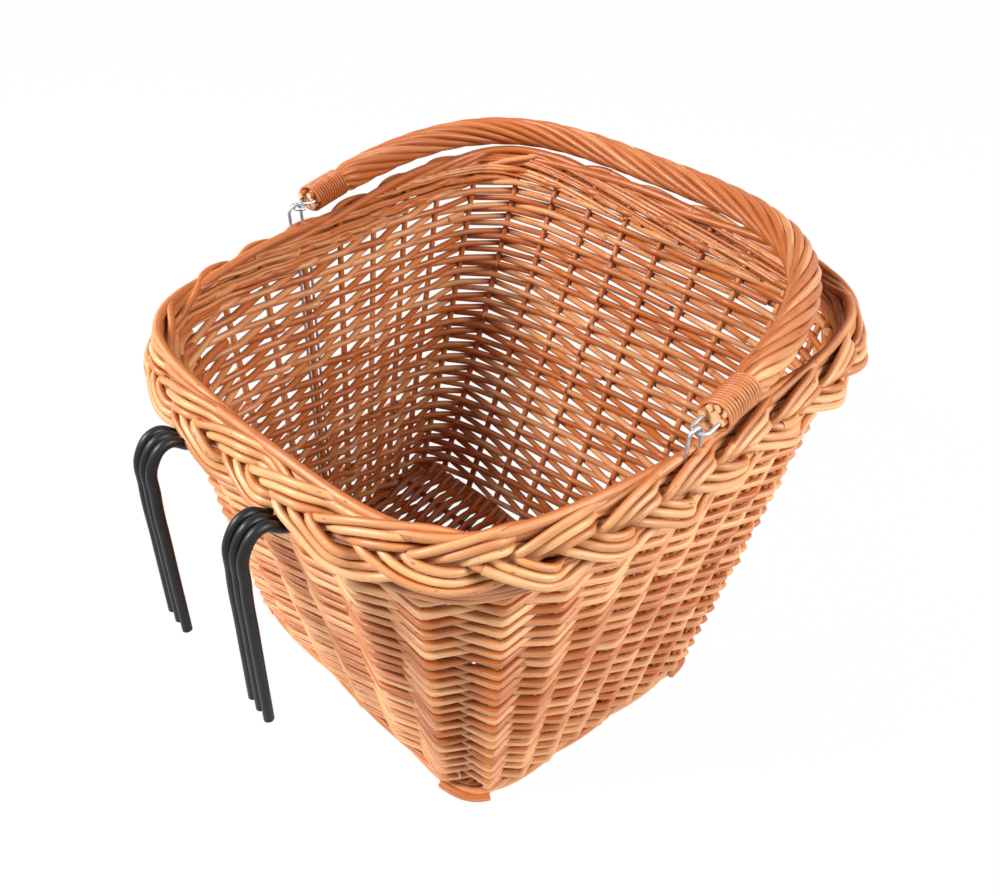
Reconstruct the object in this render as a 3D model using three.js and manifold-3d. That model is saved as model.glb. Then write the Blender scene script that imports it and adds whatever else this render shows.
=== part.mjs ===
// Willow bicycle basket with a plaited rim, two handlebar hooks and a folding carrying handle.
// Millimetres, +Z up. The origin is on the floor, under the foot border's middle on the hook side.
// X runs along the handlebar, +Y points from the basket towards the rider.

import * as THREE from 'three';
import { mergeVertices } from 'three/addons/utils/BufferGeometryUtils.js';
import Module from 'manifold-3d';

const wasm = await Module();
wasm.setup();

// Overall form
const rimHeight = 265;
const rimInnerWidth = 332;
const rimInnerDepth = 364;
const rimTaper = 0.093;
const rimSquareness = 4.2;
const footWidth = 284;
const footDepth = 210;
const footTaper = 0.1;
const footSquareness = 8;
const frontLean = 50;
const clearance = 0.3;

// Foot and base
const footBandWidth = 13;
const footBandHeight = 10;
const footChamfer = 3;
const baseStickCount = 4;
const baseStickDiameter = 6;
const baseStickSpacing = 42;
const baseWeaverDiameter = 4.6;
const baseWeaverPitch = 13;

// Stakes and side weave
const hookSideGaps = 6;
const flankGaps = 9;
const frontGaps = 9;
const stakeFootDiameter = 5.6;
const stakeRimDiameter = 4.6;
const weaverThickness = 4.4;
const weaverHeight = 8.6;
const coursesPerBand = 7;
const weaveBandNames = ['side_weave_lower', 'side_weave_upper'];
const weaveSlack = 0.2;
const waleThickness = 4.8;
const waleHeight = 4.8;

// Rim
const rimRodDiameter = 5.6;
const strandWidth = 6.8;
const strandThickness = 4.8;
const plaitWidth = 23.6;
const plaitRise = 4.2;
const plaitTilt = 55;
const plaitOut = 14.6;
const plaitDrop = 12.4;
const frontLobes = 18;
const hookSideLobes = 12;

// Carrying handle and its wire hinges
const handleDiameter = 20.4;
const handleGrooveDepth = 1.5;
const handleRods = 7;
const handleLay = 105;
const handleHalfWidth = 180.2;
const handleReach = 230.6;
const handleSquareness = 3.69;
const handleArch = 4.5;
const handleLean = 26;
const handleEndGap = 13;
const handleEndPull = 90;
const handleShoulder = 8;
const hingeGaps = 3.5;
const boundLength = 36;
const boundCoreDiameter = 15.6;
const boundGrooveDepth = 0.6;
const bindingDiameter = 2.3;
const bindingTurns = 11;
const wireDiameter = 2.2;
const linkWidth = 9;
const linkSocketDepth = 18;
const eyeWireEnd = 62;

// Handlebar hooks
const hookRodDiameter = 6.2;
const hookRodPitch = 6.5;
const hookSpacing = 88;
const hookReach = 50;
const hookThroughDrop = 29;
const hookRise = 20;
const hookLegLength = 140;
const hookLegStagger = 4;
const hookLegSplay = 2;
const hookTailEnd = 40;
const hookInnerBend = 24;
const hookInnerCorner = 9;
const hookInnerTuck = 6.5;
const hookBendRoom = 1.6;
// Side view of a hook outside the wall: shares of its reach outwards and of its rise upwards.
const hookCrown = [[0, 0], [0.4, 0], [0.56, 0.4], [0.72, 0.85], [0.92, 0.5], [1, -0.4], [1.02, -2]];

const willow = { color: 0xd9955a, roughness: 0.55, metalness: 0 };
const willowDark = { color: 0xb56a36, roughness: 0.6, metalness: 0 };
const willowPale = { color: 0xe6b27c, roughness: 0.5, metalness: 0 };
const zincWire = { color: 0xb9bcc0, roughness: 0.35, metalness: 0.9 };
const blackCoating = { color: 0x141414, roughness: 0.3, metalness: 0 };

const basket = new THREE.Group();
const up = new THREE.Vector3(0, 0, 1);

function addPart(name, geometry, finish) {
  const mesh = new THREE.Mesh(geometry, new THREE.MeshStandardMaterial(finish));
  mesh.name = name;
  basket.add(mesh);
  return mesh;
}

// Joins rings of points into one closed skin, round a loop or capped at both ends.
function loft(rings, closed) {
  const sides = rings[0].length;
  const points = rings.flat();
  const triangles = [];
  const spans = closed ? rings.length : rings.length - 1;
  for (let i = 0; i < spans; i += 1) {
    const here = i * sides;
    const next = ((i + 1) % rings.length) * sides;
    for (let j = 0; j < sides; j += 1) {
      const k = (j + 1) % sides;
      triangles.push([here + j, here + k, next + k], [here + j, next + k, next + j]);
    }
  }
  if (!closed) {
    for (const [ring, start, turn] of [[rings[0], 0, 1], [rings.at(-1), points.length - sides, -1]]) {
      const middle = ring.reduce((sum, p) => sum.add(p), new THREE.Vector3()).divideScalar(sides);
      const hub = points.push(middle) - 1;
      for (let j = 0; j < sides; j += 1) {
        const k = (j + 1) % sides;
        triangles.push(turn > 0 ? [hub, start + k, start + j] : [hub, start + j, start + k]);
      }
    }
  }
  const volume = triangles.reduce((sum, [a, b, c]) => (
    sum + points[a].dot(new THREE.Vector3().crossVectors(points[b], points[c]))), 0);
  const outward = volume > 0 ? triangles : triangles.map(([a, b, c]) => [a, c, b]);
  const geometry = new THREE.BufferGeometry();
  geometry.setAttribute('position', new THREE.Float32BufferAttribute(points.flatMap((p) => p.toArray()), 3));
  geometry.setIndex(outward.flat());
  geometry.computeVertexNormals();
  return geometry;
}

// Carries a section along a path. Each path point brings its own side direction for the section.
function sweep(path, section, closed = false) {
  const count = path.length;
  const rings = path.map(({ point, side }, i) => {
    const before = path[closed ? (i + count - 1) % count : Math.max(i - 1, 0)].point;
    const after = path[closed ? (i + 1) % count : Math.min(i + 1, count - 1)].point;
    const along = after.clone().sub(before).normalize();
    const across = side.clone().addScaledVector(along, -side.dot(along)).normalize();
    const other = new THREE.Vector3().crossVectors(along, across);
    const outline = typeof section === 'function' ? section(i) : section;
    return outline.map(([a, b]) => point.clone().addScaledVector(across, a).addScaledVector(other, b));
  });
  return loft(rings, closed);
}

function ovalSection(width, height, sides, turn = 0) {
  return Array.from({ length: sides }, (_, j) => {
    const angle = turn + (2 * Math.PI * j) / sides;
    return [(width / 2) * Math.cos(angle), (height / 2) * Math.sin(angle)];
  });
}

function toSolid(geometry) {
  const merged = geometry.clone();
  merged.deleteAttribute('normal');
  merged.deleteAttribute('uv');
  const { attributes, index } = mergeVertices(merged);
  return new wasm.Manifold(new wasm.Mesh({
    numProp: 3,
    vertProperties: new Float32Array(attributes.position.array),
    triVerts: new Uint32Array(index.array),
  }));
}

function toGeometry(solid) {
  const mesh = solid.getMesh();
  const geometry = new THREE.BufferGeometry();
  geometry.setAttribute('position', new THREE.Float32BufferAttribute(mesh.vertProperties, 3));
  geometry.setIndex([...mesh.triVerts]);
  geometry.computeVertexNormals();
  return geometry;
}

// Plan outlines: rounded trapezoids. A place round them is counted in gaps between stakes, from the
// hook wall's -X corner. Every stake stands in the middle of a gap's count, so corners fall between two.
const footOutline = {
  halfWidth: footWidth / 2,
  halfDepth: footDepth / 2,
  squareness: footSquareness,
  taper: footTaper,
  centreY: (footBandWidth - footDepth) / 2,
};
const rimOutline = {
  halfWidth: rimInnerWidth / 2,
  halfDepth: rimInnerDepth / 2,
  squareness: rimSquareness,
  taper: rimTaper,
  centreY: footOutline.centreY - frontLean,
};

const gapsPerSide = [flankGaps, frontGaps, flankGaps, hookSideGaps];
const stakeCount = gapsPerSide.reduce((sum, n) => sum + n, 0);
const stakePhase = 0.5;
const outlineSamples = 400;

function planPoint({ halfWidth, halfDepth, squareness, taper, centreY }, angle) {
  const along = Math.cos(angle);
  const across = Math.sin(angle);
  const x = halfWidth * Math.sign(along) * Math.abs(along) ** (2 / squareness);
  const y = halfDepth * Math.sign(across) * Math.abs(across) ** (2 / squareness);
  return new THREE.Vector3(x * (1 - (taper * y) / halfDepth), y + centreY, 0);
}

// For each side, a table of arc length against angle between its two corners.
function measureOutline(outline) {
  return gapsPerSide.map((gaps, side) => {
    const start = ((3 + 2 * side) * Math.PI) / 4;
    const samples = Array.from({ length: outlineSamples + 1 }, (_, i) => (
      planPoint(outline, start + (Math.PI / 2) * (i / outlineSamples))));
    const lengths = [0];
    for (let i = 1; i <= outlineSamples; i += 1) {
      lengths.push(lengths[i - 1] + samples[i].distanceTo(samples[i - 1]));
    }
    return { samples, lengths };
  });
}

const footTable = measureOutline(footOutline);
const rimTable = measureOutline(rimOutline);

// Position on an outline at a count of gaps from the first corner; stakes are at the halves.
function outlineAt(table, stakes) {
  let rest = ((stakes % stakeCount) + stakeCount) % stakeCount;
  let side = 0;
  while (rest >= gapsPerSide[side]) {
    rest -= gapsPerSide[side];
    side += 1;
  }
  const { samples, lengths } = table[side];
  const wanted = (rest / gapsPerSide[side]) * lengths[outlineSamples];
  const i = Math.max(lengths.findIndex((length) => length > wanted), 1);
  const share = (wanted - lengths[i - 1]) / (lengths[i] - lengths[i - 1]);
  return samples[i - 1].clone().lerp(samples[i], share);
}

function outwardAt(table, stakes) {
  const step = 0.25;
  const along = outlineAt(table, stakes + step).sub(outlineAt(table, stakes - step));
  return along.cross(up).normalize();
}

// The wall is ruled between the foot outline and the rim outline. Zero out is the stakes' centreline.
const hookThroughHeight = rimHeight - hookThroughDrop;
const stakeFoot = footBandHeight + clearance;
const lowerRimRodDrop = rimRodDiameter * 1.5 + clearance;
const stakeTop = rimHeight - lowerRimRodDrop - rimRodDiameter / 2 - clearance;
const wallOut = rimRodDiameter / 2;

function wallPoint(stakes, height) {
  const low = outlineAt(footTable, stakes).addScaledVector(outwardAt(footTable, stakes), -footBandWidth / 2);
  const high = outlineAt(rimTable, stakes).addScaledVector(outwardAt(rimTable, stakes), wallOut);
  return low.lerp(high, height / stakeTop).setZ(height);
}

function wallFacing(stakes, height) {
  const step = 0.25;
  const along = wallPoint(stakes + step, height).sub(wallPoint(stakes - step, height));
  const rise = wallPoint(stakes, stakeTop).sub(wallPoint(stakes, 0));
  return along.cross(rise).normalize();
}

function rimPoint(stakes, out, height) {
  return outlineAt(rimTable, stakes).addScaledVector(outwardAt(rimTable, stakes), out).setZ(height);
}

function rimRing(steps, out, height) {
  return Array.from({ length: steps }, (_, i) => {
    const stakes = (stakeCount * i) / steps;
    return { point: rimPoint(stakes, out, height), side: outwardAt(rimTable, stakes) };
  });
}

// Foot: one flat-bottomed border that everything stands on.
function makeFoot() {
  const half = footBandWidth / 2;
  const inner = half - footChamfer;
  const section = [
    [half, 0], [inner, footBandHeight / 2], [-inner, footBandHeight / 2],
    [-half, 0], [-inner, -footBandHeight / 2], [inner, -footBandHeight / 2],
  ];
  const path = Array.from({ length: 2 * stakeCount }, (_, i) => {
    const side = outwardAt(footTable, i / 2);
    const point = outlineAt(footTable, i / 2).addScaledVector(side, -half).setZ(footBandHeight / 2);
    return { point, side };
  });
  addPart('foot_border', sweep(path, section, true), willow);
}

// Base: sticks side to side, and one weaver that snakes over and under them.
const baseStickHeight = footBandHeight + clearance + baseStickDiameter / 2;

function footHalfWidthAt(y, inset) {
  const depth = footOutline.halfDepth - inset;
  const reach = Math.abs(y / depth) ** footSquareness;
  const width = (footOutline.halfWidth - inset) * Math.max(1 - reach, 0) ** (1 / footSquareness);
  return width * (1 - (footTaper * y) / depth);
}

function rodBetween(start, end, startDiameter, endDiameter, sides) {
  const length = start.distanceTo(end);
  const geometry = new THREE.CylinderGeometry(endDiameter / 2, startDiameter / 2, length, sides);
  const turn = new THREE.Quaternion().setFromUnitVectors(
    new THREE.Vector3(0, 1, 0), end.clone().sub(start).normalize());
  geometry.applyQuaternion(turn);
  geometry.translate(...start.clone().add(end).divideScalar(2).toArray());
  return geometry;
}

function makeBase() {
  const stickInset = footBandWidth / 2 + stakeFootDiameter / 2 + clearance;
  const middle = (baseStickCount - 1) / 2;
  const stickY = Array.from({ length: baseStickCount }, (_, i) => (i - middle) * baseStickSpacing);
  stickY.forEach((y, i) => {
    const reach = footHalfWidthAt(y, stickInset);
    const end = new THREE.Vector3(reach, y + footOutline.centreY, baseStickHeight);
    const start = end.clone().setX(-reach);
    addPart(`base_stick_${i + 1}`, rodBetween(start, end, baseStickDiameter, baseStickDiameter, 6), willowDark);
  });

  const slope = Math.atan((baseStickDiameter + baseWeaverDiameter) / baseStickSpacing);
  const swing = ((baseStickDiameter + baseWeaverDiameter) / 2 + clearance) / Math.cos(slope);
  const turnInset = footBandWidth + baseWeaverDiameter + weaverThickness + stakeFootDiameter;
  const passes = 2 * Math.floor((footWidth / 2 - turnInset) / baseWeaverPitch) + 1;
  const turnY = footDepth / 2 - turnInset;
  const path = [];
  for (let pass = 0; pass < passes; pass += 1) {
    const x = (pass - (passes - 1) / 2) * baseWeaverPitch;
    const order = pass % 2 === 0 ? stickY : [...stickY].reverse();
    const heading = pass % 2 === 0 ? 1 : -1;
    const put = (y, z) => path.push({
      point: new THREE.Vector3(x, y + footOutline.centreY, baseStickHeight + z),
      side: up,
    });
    put(-heading * turnY, 0);
    order.forEach((y) => put(y, swing * ((pass + stickY.indexOf(y)) % 2 === 0 ? 1 : -1)));
    put(heading * turnY, 0);
  }
  const section = ovalSection(baseWeaverDiameter, baseWeaverDiameter, 4);
  addPart('base_weaver', sweep(path, section), willowDark);
}

// Stakes: tapered rods from the foot to the rim.
function makeStakes() {
  for (let i = 0; i < stakeCount; i += 1) {
    const place = i + stakePhase;
    const low = wallPoint(place, stakeFoot);
    const high = wallPoint(place, stakeTop);
    const lean = high.clone().sub(low).angleTo(up);
    const footRise = (stakeFootDiameter / 2) * Math.sin(lean);
    const topDrop = (stakeRimDiameter / 2) * Math.sin(lean);
    const rod = rodBetween(
      wallPoint(place, stakeFoot + footRise), wallPoint(place, stakeTop - topDrop),
      stakeFootDiameter, stakeRimDiameter, 6);
    addPart(`stake_${String(i + 1).padStart(2, '0')}`, rod, willowDark);
  }
}

// Weavers wind round the wall in a rising spiral, outside one stake and inside the next.
// The stake count is odd, so each course alternates with the one below it.
function weaverPath(firstStake, lastStake, heightAt, thickness) {
  const reach = (stakeFootDiameter + thickness) / 2 + clearance + weaveSlack;
  const path = [];
  for (let stakes = firstStake; stakes <= lastStake; stakes += 0.5) {
    const height = heightAt(stakes);
    const halfGap = wallPoint(stakes, height).distanceTo(wallPoint(stakes + 0.5, height));
    const swing = reach * Math.hypot(1, reach / halfGap) * Math.cos(Math.PI * (stakes - stakePhase));
    const side = wallFacing(stakes, height);
    path.push({ point: wallPoint(stakes, height).addScaledVector(side, swing), side });
  }
  return path;
}

const courseCount = weaveBandNames.length * coursesPerBand;
const firstCourse = baseStickHeight + baseStickDiameter / 2 + weaverHeight / 2 + clearance;
const lastCourse = hookThroughHeight - hookRodDiameter / 2 - hookBendRoom - weaverHeight / 2;
const coursePitch = (lastCourse - firstCourse) / courseCount;

function makeSideWeave() {
  const stakesPerBand = stakeCount * coursesPerBand;
  const heightAt = (stakes) => firstCourse + (coursePitch * stakes) / stakeCount;
  const section = ovalSection(weaverThickness, weaverHeight, 4);
  weaveBandNames.forEach((name, band) => {
    const start = band * stakesPerBand;
    const path = weaverPath(start + 1, start + stakesPerBand + stakePhase, heightAt, weaverThickness);
    addPart(name, sweep(path, section), willow);
  });
}

function makeWale() {
  const height = hookThroughHeight + hookRodDiameter / 2 + clearance + waleHeight / 2;
  const path = weaverPath(1, stakeCount + stakePhase, () => height, waleThickness);
  addPart('upper_wale', sweep(path, ovalSection(waleThickness, waleHeight, 4)), willow);
}

// Rim: two thick rods on the inside, and a flat three-strand plait that hangs over the outside.
function makeRim() {
  const steps = 2 * stakeCount;
  const section = ovalSection(rimRodDiameter, rimRodDiameter, 5, Math.PI / 5);
  const top = rimHeight - (rimRodDiameter / 2) * Math.cos(Math.PI / 10);
  addPart('rim_rod_upper', sweep(rimRing(steps, rimRodDiameter / 2, top), section, true), willow);
  const lower = rimHeight - lowerRimRodDrop;
  addPart('rim_rod_lower', sweep(rimRing(steps, rimRodDiameter / 2, lower), section, true), willow);
}

// The plait's lobes are counted from the right hinge round the front to the left one, and on round
// the hook side, so that its strands leave room for the wire eye at both hinges.
const hingePlace = (side) => (side < 0 ? hingeGaps : 2 * flankGaps + frontGaps - hingeGaps);
const lobeCount = frontLobes + hookSideLobes;

function stakesAtLobe(lobe) {
  const frontRun = hingePlace(1) - hingePlace(-1);
  if (lobe < frontLobes) return hingePlace(-1) + (lobe * frontRun) / frontLobes;
  return hingePlace(1) + ((lobe - frontLobes) * (stakeCount - frontRun)) / hookSideLobes;
}

function makePlait() {
  const strands = 3;
  const stepsPerLobe = 2;
  const swing = (plaitWidth - strandWidth) / 2;
  const tilt = THREE.MathUtils.degToRad(plaitTilt);
  const section = ovalSection(strandWidth, strandThickness, 6);
  for (let strand = 0; strand < strands; strand += 1) {
    const path = [];
    for (let i = 0; i < lobeCount * stepsPerLobe; i += 1) {
      const lobe = (i + 0.5) / stepsPerLobe;
      const stakes = stakesAtLobe(lobe);
      const out = outwardAt(rimTable, stakes);
      const across = out.clone().multiplyScalar(Math.cos(tilt)).addScaledVector(up, -Math.sin(tilt));
      const facing = out.clone().multiplyScalar(Math.sin(tilt)).addScaledVector(up, Math.cos(tilt));
      const phase = (2 * Math.PI * (lobe + strand)) / strands;
      const point = rimPoint(stakes, plaitOut, rimHeight - plaitDrop);
      point.addScaledVector(across, swing * Math.sin(phase));
      point.addScaledVector(facing, plaitRise * Math.sin(2 * phase));
      path.push({ point, side: across });
    }
    addPart(`plait_strand_${strand + 1}`, sweep(path, section, true), willowPale);
  }
}

// Hinge line of the handle, through a wire eye above the fourth stake from the hook wall on each side.
const hingeHeight = rimHeight + 2 * clearance + handleDiameter / 2;
const eyeOut = rimRodDiameter + clearance + wireDiameter / 2;
const hingeAt = (side) => rimPoint(hingePlace(side), eyeOut, hingeHeight);
const hingeY = hingeAt(1).y;
const hingeX = hingeAt(1).x;

// Handle: a rounded bow of twisted rods, lying folded over the front of the rim.
function bowPoint(turn) {
  const along = Math.cos(turn);
  const power = 2 / handleSquareness;
  const reach = handleReach * Math.sin(turn) ** power;
  const spread = handleHalfWidth * Math.sign(along) * Math.abs(along) ** power;
  const pull = 1 - (1 - hingeX / handleHalfWidth) * Math.exp(-reach / handleEndPull);
  const share = reach / handleReach;
  return new THREE.Vector3(
    spread * pull + handleLean * Math.sin((Math.PI * share) / 2),
    hingeY - reach,
    hingeHeight + handleArch * share * share,
  );
}

// Points evenly spaced along the bow, from a given distance off the hinge line to the same on the other side.
const bowSamples = Array.from({ length: 2001 }, (_, i) => bowPoint((Math.PI * i) / 2000));
const bowLengths = bowSamples.reduce((lengths, point, i) => {
  lengths.push(i === 0 ? 0 : lengths[i - 1] + point.distanceTo(bowSamples[i - 1]));
  return lengths;
}, []);
const bowLength = bowLengths.at(-1);

function bowAt(distance) {
  const i = Math.max(bowLengths.findIndex((length) => length > distance), 1);
  const share = (distance - bowLengths[i - 1]) / (bowLengths[i] - bowLengths[i - 1]);
  return bowSamples[i - 1].clone().lerp(bowSamples[i], share);
}

const socketOvershoot = 2;

// A point beside the handle's centreline, in the plane of the bow.
function besideBow(side, distance, offset) {
  const from = (d) => bowAt(side > 0 ? d : bowLength - d);
  const along = from(distance + 1).sub(from(distance - 1));
  const across = along.cross(up).normalize();
  return from(distance).addScaledVector(across, offset);
}

function makeHandle() {
  const boundEnd = handleEndGap + boundLength - 1;
  const fullFrom = boundEnd + handleShoulder;
  const steps = 38;
  const free = bowLength - 2 * fullFrom;
  const stations = [handleEndGap, boundEnd];
  for (let i = 0; i <= steps; i += 1) {
    stations.push(fullFrom + (free * i) / steps);
  }
  stations.push(bowLength - boundEnd, bowLength - handleEndGap);
  const path = stations.map((distance) => ({ point: bowAt(distance), side: up }));
  const section = (i) => {
    const bound = i < 2 || i > stations.length - 3;
    const radius = (bound ? boundCoreDiameter : handleDiameter) / 2;
    const groove = bound ? boundGrooveDepth : handleGrooveDepth;
    const twist = (2 * Math.PI * stations[i]) / handleLay;
    return Array.from({ length: 2 * handleRods }, (_, j) => {
      const angle = twist + (Math.PI * j) / handleRods;
      const r = radius - (j % 2) * groove;
      return [r * Math.cos(angle), r * Math.sin(angle)];
    });
  };
  // Two blind holes in each end face take the legs of the wire link.
  let bow = toSolid(sweep(path, section));
  for (const side of [1, -1]) {
    for (const leg of [-1, 1]) {
      const offset = (leg * linkWidth) / 2;
      const mouth = besideBow(side, handleEndGap - socketOvershoot, offset);
      const bottom = besideBow(side, handleEndGap + linkSocketDepth, offset);
      const bore = rodBetween(mouth, bottom, wireDiameter + 2 * clearance, wireDiameter + 2 * clearance, 6);
      bow = bow.subtract(toSolid(bore));
    }
  }
  addPart('handle_bow', toGeometry(bow), willow);
}

// Bindings: one strip wound round each end of the handle, its two ends left straight.
const turnSteps = 10;

function leastGap(path, diameter) {
  let least = Infinity;
  for (let i = 0; i < path.length; i += 1) {
    for (let j = i + Math.round(turnSteps * 0.7); j < path.length; j += 1) {
      least = Math.min(least, path[i].point.distanceTo(path[j].point) - diameter);
    }
  }
  return least;
}

function makeBinding(side) {
  const pitch = (boundLength - bindingDiameter) / bindingTurns;
  const radius = (boundCoreDiameter / 2 + clearance + bindingDiameter / 2) / Math.cos(Math.PI / turnSteps);
  const path = [];
  for (let i = 0; i <= bindingTurns * turnSteps; i += 1) {
    const turn = i / turnSteps;
    const distance = handleEndGap + bindingDiameter / 2 + pitch * turn;
    const fromEnd = side > 0 ? distance : bowLength - distance;
    const point = bowAt(fromEnd);
    const along = bowAt(fromEnd + 1).sub(bowAt(fromEnd - 1)).normalize();
    const across = new THREE.Vector3().crossVectors(along, up).normalize();
    const lift = new THREE.Vector3().crossVectors(across, along);
    const out = across.multiplyScalar(Math.cos(2 * Math.PI * turn))
      .addScaledVector(lift, Math.sin(2 * Math.PI * turn));
    path.push({ point: point.addScaledVector(out, radius), side: out });
  }
  for (const [end, next] of [[0, 1], [path.length - 1, path.length - 2]]) {
    const away = path[end].point.clone().sub(path[next].point).setLength(bindingDiameter);
    const tail = { point: path[end].point.clone().add(away), side: path[end].side };
    if (end === 0) path.unshift(tail);
    else path.push(tail);
  }
  const name = side > 0 ? 'handle_binding_left' : 'handle_binding_right';
  console.log(`${name}: least gap between turns ${leastGap(path, bindingDiameter).toFixed(2)} mm`);
  addPart(name, sweep(path, ovalSection(bindingDiameter, bindingDiameter, 5)), willowPale);
}

// Wire links: a U of wire from each handle end passes through an eye that stands on the rim.
function makeLink(side) {
  const half = linkWidth / 2;
  const legEnd = handleEndGap + linkSocketDepth - clearance;
  const legStart = handleEndGap - socketOvershoot;
  const bends = 8;
  const bend = Array.from({ length: bends + 1 }, (_, i) => {
    const angle = (Math.PI * i) / bends;
    return hingeAt(side).add(new THREE.Vector3(half * Math.cos(angle), half * Math.sin(angle) - half, 0));
  });
  const leg = (offset) => [besideBow(side, legEnd, offset), besideBow(side, legStart, offset)];
  const points = [...leg(-half), ...(side > 0 ? bend.reverse() : bend), ...leg(half).reverse()];
  const path = points.map((point) => ({ point, side: up }));
  const name = side > 0 ? 'handle_link_left' : 'handle_link_right';
  addPart(name, sweep(path, ovalSection(wireDiameter, wireDiameter, 6)), zincWire);
}

function makeEye(side) {
  const stakes = hingePlace(side);
  const legGap = stakeFootDiameter / 2 + clearance + wireDiameter / 2;
  const archTop = hingeHeight + wireDiameter + clearance;
  const out = outwardAt(rimTable, stakes);
  const along = new THREE.Vector3().crossVectors(up, out);
  const leg = [
    wallPoint(stakes, eyeWireEnd),
    wallPoint(stakes, hookThroughHeight),
    wallPoint(stakes, hookThroughHeight + 2 * waleHeight),
    rimPoint(stakes, eyeOut, rimHeight - rimRodDiameter * 2),
    rimPoint(stakes, eyeOut, rimHeight),
  ];
  const bends = 8;
  const arch = Array.from({ length: bends + 1 }, (_, i) => {
    const angle = (Math.PI * i) / bends;
    return rimPoint(stakes, eyeOut, archTop - legGap + legGap * Math.sin(angle))
      .addScaledVector(along, legGap * Math.cos(angle));
  });
  const points = [
    ...leg.map((point) => point.clone().addScaledVector(along, legGap)),
    ...arch,
    ...leg.reverse().map((point) => point.clone().addScaledVector(along, -legGap)),
  ];
  const path = points.map((point) => ({ point, side: out }));
  const name = side > 0 ? 'rim_eye_left' : 'rim_eye_right';
  addPart(name, sweep(path, ovalSection(wireDiameter, wireDiameter, 6)), zincWire);
}

// Distance of the hook wall's stakes from the origin, at a given place along the handlebar.
function hookWallY(x, height) {
  let near = stakeCount - hookSideGaps / 2;
  let far = stakeCount;
  for (let i = 0; i < 30; i += 1) {
    const middle = (near + far) / 2;
    if (Math.abs(wallPoint(middle, height).x) < x) near = middle;
    else far = middle;
  }
  return wallPoint(near, height).y;
}

// Hooks: three coated rods side by side, from inside the wall out under the rim and over the handlebar.
function makeHook(side, name) {
  const wallBehind = (stakeFootDiameter + hookRodDiameter) / 2 + weaverThickness + 2 * clearance;
  const inner = (height) => hookWallY(hookSpacing / 2 + hookRodPitch, height) - wallBehind;
  const wall = hookWallY(0, hookThroughHeight);
  for (let rod = 0; rod < 3; rod += 1) {
    const legEnd = hookThroughHeight + hookRise - hookLegLength + hookLegStagger * (rod - 1);
    const x = side * (hookSpacing / 2) + (rod - 1) * hookRodPitch;
    const profile = [
      [inner(hookThroughHeight - hookInnerBend), hookThroughHeight - hookInnerBend],
      [inner(hookThroughHeight - hookInnerCorner), hookThroughHeight - hookInnerCorner],
      [wall - hookInnerTuck, hookThroughHeight - clearance],
      ...hookCrown.map(([out, rise]) => [wall + hookReach * out, hookThroughHeight + hookRise * rise]),
      [wall + hookReach + hookLegSplay, legEnd],
    ].map(([y, z]) => new THREE.Vector3(x, y, z));
    const tail = new THREE.Vector3(x, inner(hookTailEnd), hookTailEnd);
    const curve = new THREE.CatmullRomCurve3(profile, false, 'centripetal');
    const steps = 20;
    const path = [tail, ...curve.getSpacedPoints(steps)].map((point) => (
      { point, side: new THREE.Vector3(1, 0, 0) }));
    const section = ovalSection(hookRodDiameter, hookRodDiameter, 6);
    addPart(`${name}_rod_${rod + 1}`, sweep(path, section), blackCoating);
  }
}

makeFoot();
makeBase();
makeStakes();
makeSideWeave();
makeWale();
makeRim();
makePlait();
makeHandle();
makeHook(1, 'hook_left');
makeHook(-1, 'hook_right');
for (const side of [1, -1]) {
  makeBinding(side);
  makeLink(side);
  makeEye(side);
}

export default basket;
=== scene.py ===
import math
import random

import bpy
import numpy as np
from mathutils import Matrix, Vector


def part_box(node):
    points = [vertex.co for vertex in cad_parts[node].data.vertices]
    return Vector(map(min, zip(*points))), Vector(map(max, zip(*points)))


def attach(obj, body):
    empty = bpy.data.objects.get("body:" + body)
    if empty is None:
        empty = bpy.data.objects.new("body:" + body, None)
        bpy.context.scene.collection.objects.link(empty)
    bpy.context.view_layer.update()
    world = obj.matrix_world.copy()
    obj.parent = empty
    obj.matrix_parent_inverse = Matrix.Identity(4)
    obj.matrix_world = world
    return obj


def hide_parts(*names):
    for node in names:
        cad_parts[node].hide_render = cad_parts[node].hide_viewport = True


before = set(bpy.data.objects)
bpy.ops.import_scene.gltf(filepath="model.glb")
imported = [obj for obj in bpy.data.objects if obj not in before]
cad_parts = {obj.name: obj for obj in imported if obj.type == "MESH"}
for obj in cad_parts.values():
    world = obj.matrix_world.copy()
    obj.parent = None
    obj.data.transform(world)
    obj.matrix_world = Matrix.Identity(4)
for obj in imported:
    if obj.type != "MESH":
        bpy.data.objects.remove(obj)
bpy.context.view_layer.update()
nodeNames = sorted(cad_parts)
print("frame loaded:", len(nodeNames), "solids")

# The walls are ruled between the foot outline and the rim outline, as in the solids. Metres.
wall = {
    "rimHeight": 0.265,
    "rimHalfWidth": 0.166,
    "rimHalfDepth": 0.182,
    "rimTaper": 0.093,
    "rimSquareness": 4.9,
    "nearSquareness": 4.2,
    "footHalfWidth": 0.142,
    "footHalfDepth": 0.105,
    "footTaper": 0.1,
    "footSquareness": 8,
    "footBand": 0.013,
    "frontLean": 0.05,
    "rimRod": 0.0056,
    "gapsPerSide": [9, 9, 9, 6],  # -X flank, front, +X flank, hook wall
    "stakeFoot": 0.0056,
    "stakeRim": 0.0046,
    "stakeRoom": 0.0006,
    "sidewaysLean": 0.06,
    "leanFrom": -0.1114,
}

footCentreY = wall["footBand"] / 2 - wall["footHalfDepth"]
rimCentreY = footCentreY - wall["frontLean"]
gapsPerSide = wall["gapsPerSide"]
gapCount = sum(gapsPerSide)
stakeTop = wall["rimHeight"] - 2 * wall["rimRod"] - wall["stakeRoom"]
outlineRings = 401
besideGaps = 0.25  # how far to either side a direction is measured


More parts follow.
